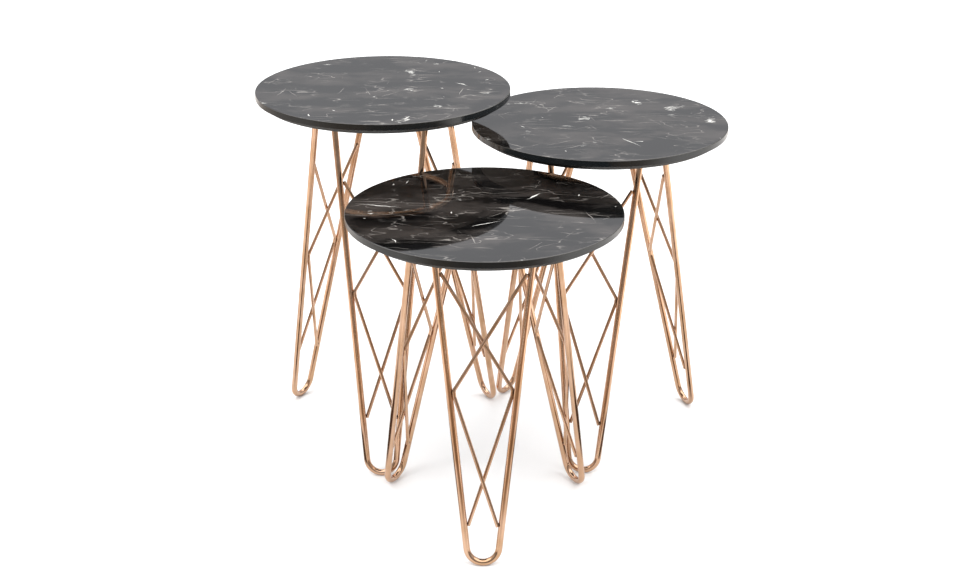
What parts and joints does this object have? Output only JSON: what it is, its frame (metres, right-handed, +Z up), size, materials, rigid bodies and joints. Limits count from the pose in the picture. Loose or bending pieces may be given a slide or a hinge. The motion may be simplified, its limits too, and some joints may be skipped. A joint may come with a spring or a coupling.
{
  "type": "nesting tables",
  "caption": "Round nesting side tables with glossy black marble-print tops on copper-plated hairpin legs, braced by crossed bent wires, stood overlapped at stepped heights.",
  "frame": {"origin": "on the floor, under the middle of the box round the set as it stands", "axes": "+Z up, -Y towards the front of the set, +X to the right seen from the front"},
  "size_m": [0.7438, 0.6961, 0.585],
  "materials": {
    "marble_foil": "high-gloss foil printed as black marble with pale veins",
    "board": "raw fibreboard",
    "backing": "matt black backing foil",
    "frame_metal": "polished copper plating on steel rod",
    "screw_steel": "zinc-plated steel"
  },
  "bodies": {
    "tall_table": {"tall_marble_foil": "marble_foil", "tall_board": "board", "tall_backing": "backing", "tall_ring": "frame_metal", "tall_front_leg": "frame_metal", "tall_front_outer_brace": "frame_metal", "tall_front_inner_brace": "frame_metal", "tall_right_leg": "frame_metal", "tall_right_outer_brace": "frame_metal", "tall_right_inner_brace": "frame_metal", "tall_left_leg": "frame_metal", "tall_left_outer_brace": "frame_metal", "tall_left_inner_brace": "frame_metal", "tall_rear_lug": "frame_metal", "tall_left_lug": "frame_metal", "tall_right_lug": "frame_metal", "tall_screws": "screw_steel"},
    "middle_table": {"middle_marble_foil": "marble_foil", "middle_board": "board", "middle_backing": "backing", "middle_ring": "frame_metal", "middle_front_leg": "frame_metal", "middle_front_outer_brace": "frame_metal", "middle_front_inner_brace": "frame_metal", "middle_right_leg": "frame_metal", "middle_right_outer_brace": "frame_metal", "middle_right_inner_brace": "frame_metal", "middle_left_leg": "frame_metal", "middle_left_outer_brace": "frame_metal", "middle_left_inner_brace": "frame_metal", "middle_rear_lug": "frame_metal", "middle_left_lug": "frame_metal", "middle_right_lug": "frame_metal", "middle_screws": "screw_steel"},
    "low_table": {"low_marble_foil": "marble_foil", "low_board": "board", "low_backing": "backing", "low_ring": "frame_metal", "low_front_leg": "frame_metal", "low_front_outer_brace": "frame_metal", "low_front_inner_brace": "frame_metal", "low_right_leg": "frame_metal", "low_right_outer_brace": "frame_metal", "low_right_inner_brace": "frame_metal", "low_left_leg": "frame_metal", "low_left_outer_brace": "frame_metal", "low_left_inner_brace": "frame_metal", "low_rear_lug": "frame_metal", "low_left_lug": "frame_metal", "low_right_lug": "frame_metal", "low_screws": "screw_steel"}
  },
  "joints": [
    {"name": "middle_slide", "type": "slide", "parent": "tall_table", "child": "middle_table", "axis": [1, 0, 0], "range_m": [0, 0.3]},
    {"name": "low_slide", "type": "slide", "parent": "tall_table", "child": "low_table", "axis": [0, -1, 0], "range_m": [0, 0.3]}
  ]
}
